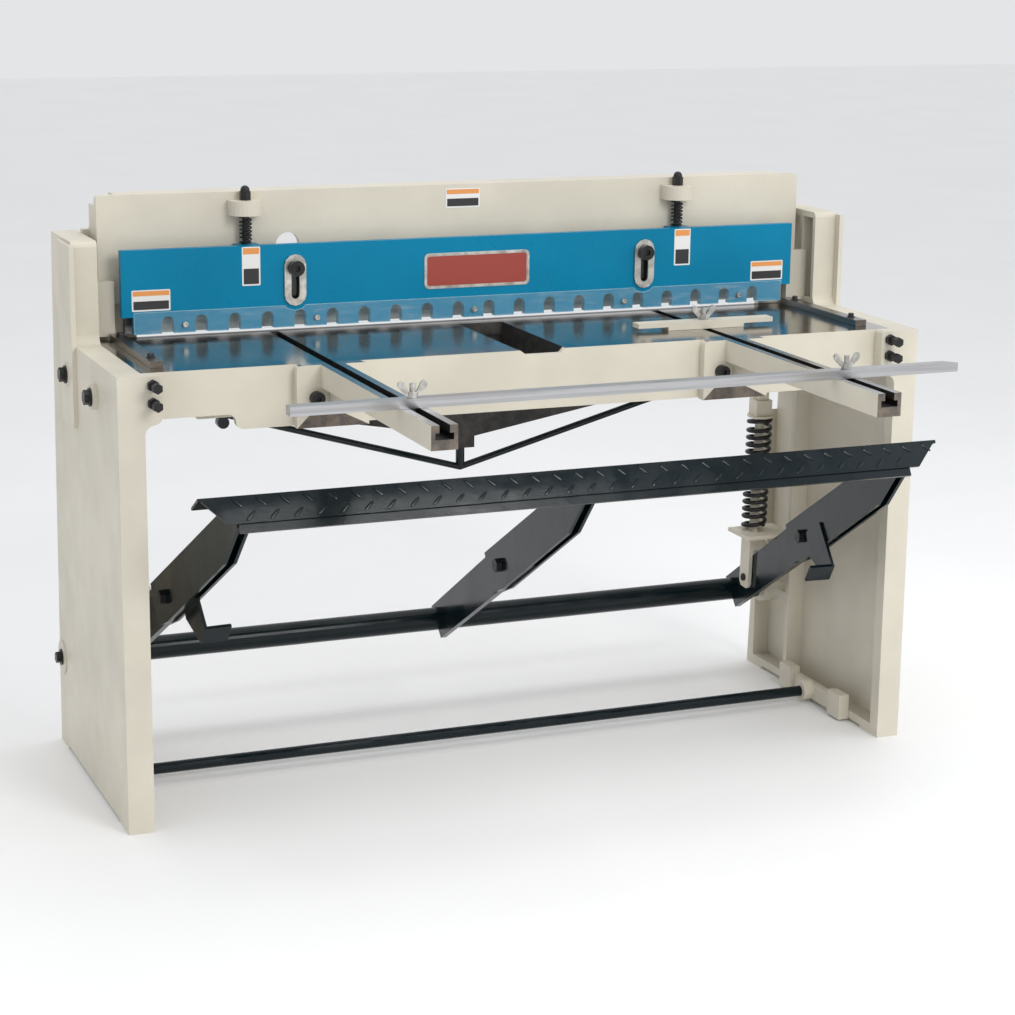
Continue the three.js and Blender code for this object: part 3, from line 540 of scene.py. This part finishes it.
def rounded_outline(width, height, radius):
    steps = 5
    points = []
    for sx, sy, start in ((1, 1, 0), (-1, 1, 90), (-1, -1, 180), (1, -1, 270)):
        cx = sx * (width / 2 - radius)
        cy = sy * (height / 2 - radius)
        for i in range(steps + 1):
            turn = math.radians(start + 90 * i / steps)
            points.append((cx + radius * math.cos(turn), cy + radius * math.sin(turn)))
    return points


def plaque(name, centre, size, thick, radius, material, body, rim=0.0):
    """A thin rounded plate on a surface that faces the operator, with a raised rim if asked."""
    width, height = size
    bm = bmesh.new()
    place = Matrix.Translation(centre) @ Matrix.Rotation(math.radians(90), 4, "X")
    # Each level is (growth of the outline, height above the surface).
    levels = [(0.0, 0.0), (0.0, thick * 0.7), (-thick * 0.3, thick)]
    if rim:
        levels += [(-rim, thick), (-rim - thick * 0.3, thick * 0.5)]
    stack = [
        [(x, y, z) for x, y in rounded_outline(width + 2 * grow, height + 2 * grow, radius)]
        for grow, z in levels
    ]
    stacked_rings(bm, stack, place)
    return piece(name, from_bmesh(name, bm), material, body)


# ---- Springs ----


def coil(name, foot, axis, length, radius, wire, turns, body):
    """Round wire wound with closed end turns, from foot along axis."""
    per_turn, sides = 28, 10
    steps = turns * per_turn
    place = Matrix.Translation(foot) @ turned(axis)
    free = length - 2 * wire
    rings = []
    for i in range(steps + 1):
        turn = i / per_turn
        flat = min(1.0, turn, turns - turn)
        share = (turn - 0.5 * (1 - flat) * (1 if turn < 1 else -1)) / turns
        rise = free * min(1.0, max(0.0, share)) if 0 < i < steps else free * (i > 0)
        angle = 2 * math.pi * turn
        out = Vector((math.cos(angle), math.sin(angle), 0))
        middle = out * radius + UP * (wire + rise)
        rings.append(
            [
                middle + out * wire * math.cos(t) + UP * wire * math.sin(t)
                for t in (2 * math.pi * k / sides for k in range(sides))
            ]
        )
    bm = bmesh.new()
    stacked_rings(bm, rings, place)
    return piece(name, from_bmesh(name, bm), SPRING, body, 60)


PULL_LEAN = math.radians(2.6)  # the pull rods lean forwards at their tops
RETURN_SPRING = {"radius": 0.0235, "wire": 0.0044, "turns": 15}
HOLD_DOWN_SPRING = {"radius": 0.0108, "wire": 0.0016, "turns": 7}
NUT_HALF = 0.01095  # half the size along y of a guide rod's nut


def return_spring(side):
    cad = f"return_spring_{side}"
    lo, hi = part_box(cad)
    axis = Vector((0, -math.sin(PULL_LEAN), math.cos(PULL_LEAN)))
    length = hi.z - lo.z
    foot = (lo + hi) / 2 - axis * (length / 2)
    spring = coil(f"coil_{cad}", foot, axis, length - 0.001, body="frame", **RETURN_SPRING)
    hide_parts(cad)
    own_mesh(spring)


def hold_down_spring(side):
    cad = f"hold_down_spring_{side}"
    lo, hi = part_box(cad)
    foot = Vector(((lo.x + hi.x) / 2, low(f"guide_rod_{side}").y + NUT_HALF, lo.z))
    length = hi.z - lo.z
    spring = coil(f"coil_{cad}", foot, UP, length, body="crosshead", **HOLD_DOWN_SPRING)
    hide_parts(cad)
    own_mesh(spring)


for side in SIDES:
    return_spring(side)
    hold_down_spring(side)


# ---- Labels and name plate ----


LABEL_THICK = 0.0004
PRINT_THICK = 0.0003  # the band and block, which stand a little proud of the label
BADGE_SIZE = (0.222, 0.07)
BADGE_FIELD_SIZE = (0.21, 0.058)


def label(name, centre, size, band, body):
    """A blank label: a white plate with a coloured band along its top and a dark block below."""
    width, height = size
    plate = plaque(name, centre, size, LABEL_THICK, 0.002, LABEL_WHITE, body)
    proud = FORWARD * 0.0003
    top = centre + UP * (height / 2 - band / 2 - 0.002) + proud
    strip_size = (width - 0.004, band)
    strip = plaque(f"{name}_band", top, strip_size, PRINT_THICK, 0.001, LABEL_BAND, body)
    block_height = height * 0.4
    bottom = centre - UP * (height / 2 - block_height / 2 - 0.003) + proud
    block_size = (width - 0.006, block_height)
    block = plaque(f"{name}_block", bottom, block_size, PRINT_THICK, 0.001, LABEL_DARK, body)


def labels(bar_face):
    head_face = low("upper_blade").y + 0.0039
    for side, sign in SIDES.items():
        upright = Vector((sign * 0.454, bar_face, 0.972))
        label(f"label_upright_{side}", upright, (0.036, 0.074), 0.012, "hold_down")
        flat = Vector((sign * 0.649, bar_face, 0.916))
        label(f"label_flat_{side}", flat, (0.074, 0.04), 0.009, "hold_down")
    label("label_head", Vector((-0.007, head_face, 1.082)), (0.072, 0.038), 0.009, "crosshead")


def name_plate(bar_face):
    """A blank red plate with a raised metal rim."""
    centre = Vector((0.0065, bar_face, 0.9465))
    plate = plaque("name_plate", centre, BADGE_SIZE, 0.0016, 0.01, ZINC, "hold_down", 0.004)
    field = centre + FORWARD * 0.0007
    inset = plaque(
        "name_plate_field", field, BADGE_FIELD_SIZE, 0.0004, 0.006, BADGE_FIELD, "hold_down"
    )


BAR_FACE = low("hold_down_bar").y - 0.0001
labels(BAR_FACE)
name_plate(BAR_FACE)


# ---- Small fasteners ----
GUARD_SCREW_X = (-0.585, -0.325, 0.0, 0.325, 0.585)
GUARD_SCREW_Z = 0.868
GAUGE_BOLT_X = 0.712
GAUGE_BOLT_Y = (0.103, 0.335)
BLADE_BOLT_PITCH = 0.132
BLADE_BOLT_PLACES = (-3, -1, 0, 1, 3)  # in pitches from the middle
BLADE_BOLT_Y, BLADE_BOLT_Z = 0.423, 0.891


def guard_screws():
    face = low("finger_guard").y
    spots = [Vector((x, face, GUARD_SCREW_Z)) for x in GUARD_SCREW_X]
    screws = socket_screws("guard_screws", spots, FORWARD, 0.0055, 0.0035, "hold_down", ZINC)


def side_gauge_bolts():
    seat = high("side_gauge_left").z - 0.0005
    spots = [
        Vector((sign * GAUGE_BOLT_X, y, seat)) for sign in SIDES.values() for y in GAUGE_BOLT_Y
    ]
    hex_bolts("side_gauge_bolts", spots, UP, 0.011, 0.007, "frame")


def blade_bolts():
    spots = [
        Vector((place * BLADE_BOLT_PITCH, BLADE_BOLT_Y, BLADE_BOLT_Z))
        for place in BLADE_BOLT_PLACES
    ]
    hex_bolts("blade_bolts", spots, BACK, 0.013, 0.007, "crosshead")


guard_screws()
side_gauge_bolts()
blade_bolts()


# ---- Tread plate pattern ----
ARM_ANGLE = math.radians(31)  # the treadle's arms rise forwards from the tube
TREAD_REACH = 0.886  # tube axis to the tread's face
TREAD_LOW, TREAD_RIDGE = -0.0175, 0.032  # the face's edges, square to the arms
LUG_PITCH = 0.042
LUG_MARGIN = 0.0125  # from an edge of the face to the middle of its row
# Each row is (distance square to the arms, half its length, lean in degrees, shift in pitches).
LUG_ROWS = (
    (TREAD_LOW + LUG_MARGIN, 0.66, 42, 0.0),
    (TREAD_RIDGE - LUG_MARGIN, 0.685, -42, 0.5),
)


def lug(bm, place, length, width, height):
    """One raised lozenge of checker plate, long along x."""
    quarter = [(0.5, 0.0), (0.32, 0.42), (0.0, 0.5)]
    upper = [(-x, y) for x, y in quarter] + [(x, y) for x, y in quarter[1::-1]]
    outline = upper + [(-x, -y) for x, y in upper[1:-1]]
    levels = [(1.0, -0.0004), (0.86, height * 0.75), (0.6, height)]
    stack = [[(x * length * k, y * width * k, z) for x, y in outline] for k, z in levels]
    stacked_rings(bm, stack, place)


def tread_pattern():
    """Two staggered rows of lozenges on the tread's face, each row leaning its own way."""
    hinge = joint_place("treadle")
    along = Vector((0, -math.cos(ARM_ANGLE), math.sin(ARM_ANGLE)))
    upward = Vector((0, math.sin(ARM_ANGLE), math.cos(ARM_ANGLE)))
    face = Matrix((ALONG_X, upward, along)).transposed().to_4x4()
    bm = bmesh.new()
    for off, reach, lean, shift in LUG_ROWS:
        turn = Matrix.Rotation(math.radians(lean), 4, "Z")
        row = hinge + along * TREAD_REACH + upward * off
        count = int(reach / LUG_PITCH)
        for i in range(-count, count + 1):
            spot = row + ALONG_X * ((i + shift) * LUG_PITCH)
            lug(bm, Matrix.Translation(spot) @ face @ turn, 0.027, 0.007, 0.0018)
    pattern = piece("tread_lugs", from_bmesh("tread_lugs", bm), BLACK, "treadle")


tread_pattern()


# ---- Floor, light and camera ----


def area_light(name, place, target, size, power, tone):
    data = bpy.data.lights.new(name, "AREA")
    data.shape = "RECTANGLE"
    data.size, data.size_y = size
    data.energy = power
    data.color = tone
    thing = bpy.data.objects.new(name, data)
    bpy.context.collection.objects.link(thing)
    thing.location = place
    thing.rotation_euler = (Vector(target) - Vector(place)).to_track_quat("-Z", "Y").to_euler()


def pale_floor():
    grid = bmesh.new()
    bmesh.ops.create_grid(grid, x_segments=2, y_segments=2, size=20)
    mesh = from_bmesh("floor", grid)
    mesh.materials.append(floor_material())
    thing = bpy.data.objects.new("floor", mesh)
    bpy.context.collection.objects.link(thing)


def studio():
    """Even light from all round, with a key light in front and to the right."""
    world = bpy.data.worlds.new("studio")
    world.use_nodes = True
    background = world.node_tree.nodes["Background"]
    background.inputs["Color"].default_value = (0.97, 0.98, 1.0, 1)
    background.inputs["Strength"].default_value = 0.8
    bpy.context.scene.world = world
    middle = (0, 0, 0.6)
    area_light("key", (0.9, -3.6, 3.0), middle, (1.6, 1.6), 70, (1.0, 0.99, 0.97))
    area_light("fill", (3.4, -1.6, 2.0), middle, (2.5, 2.5), 20, (0.96, 0.98, 1.0))
    area_light("top", (0, 0.6, 3.6), middle, (3.5, 1.8), 26, (1.0, 1.0, 1.0))


CAMERA_PLACE = (-1.7459, -4.1088, 1.631)
CAMERA_TURNS = (22.247, 13.696, 0.637)  # yaw towards +X, pitch down, roll
LENS, SENSOR = 86.745, 36.0  # millimetres


def camera():
    yaw, pitch, roll = (math.radians(turn) for turn in CAMERA_TURNS)
    data = bpy.data.cameras.new("camera")
    data.sensor_width = SENSOR
    data.lens = LENS
    thing = bpy.data.objects.new("camera", data)
    bpy.context.collection.objects.link(thing)
    look = (
        Matrix.Rotation(-yaw, 4, "Z")
        @ Matrix.Rotation(math.radians(90) - pitch, 4, "X")
        @ Matrix.Rotation(roll, 4, "Z")
    )
    thing.matrix_world = Matrix.Translation(CAMERA_PLACE) @ look
    bpy.context.scene.camera = thing


pale_floor()
studio()
camera()
bpy.context.scene.view_settings.view_transform = "Standard"
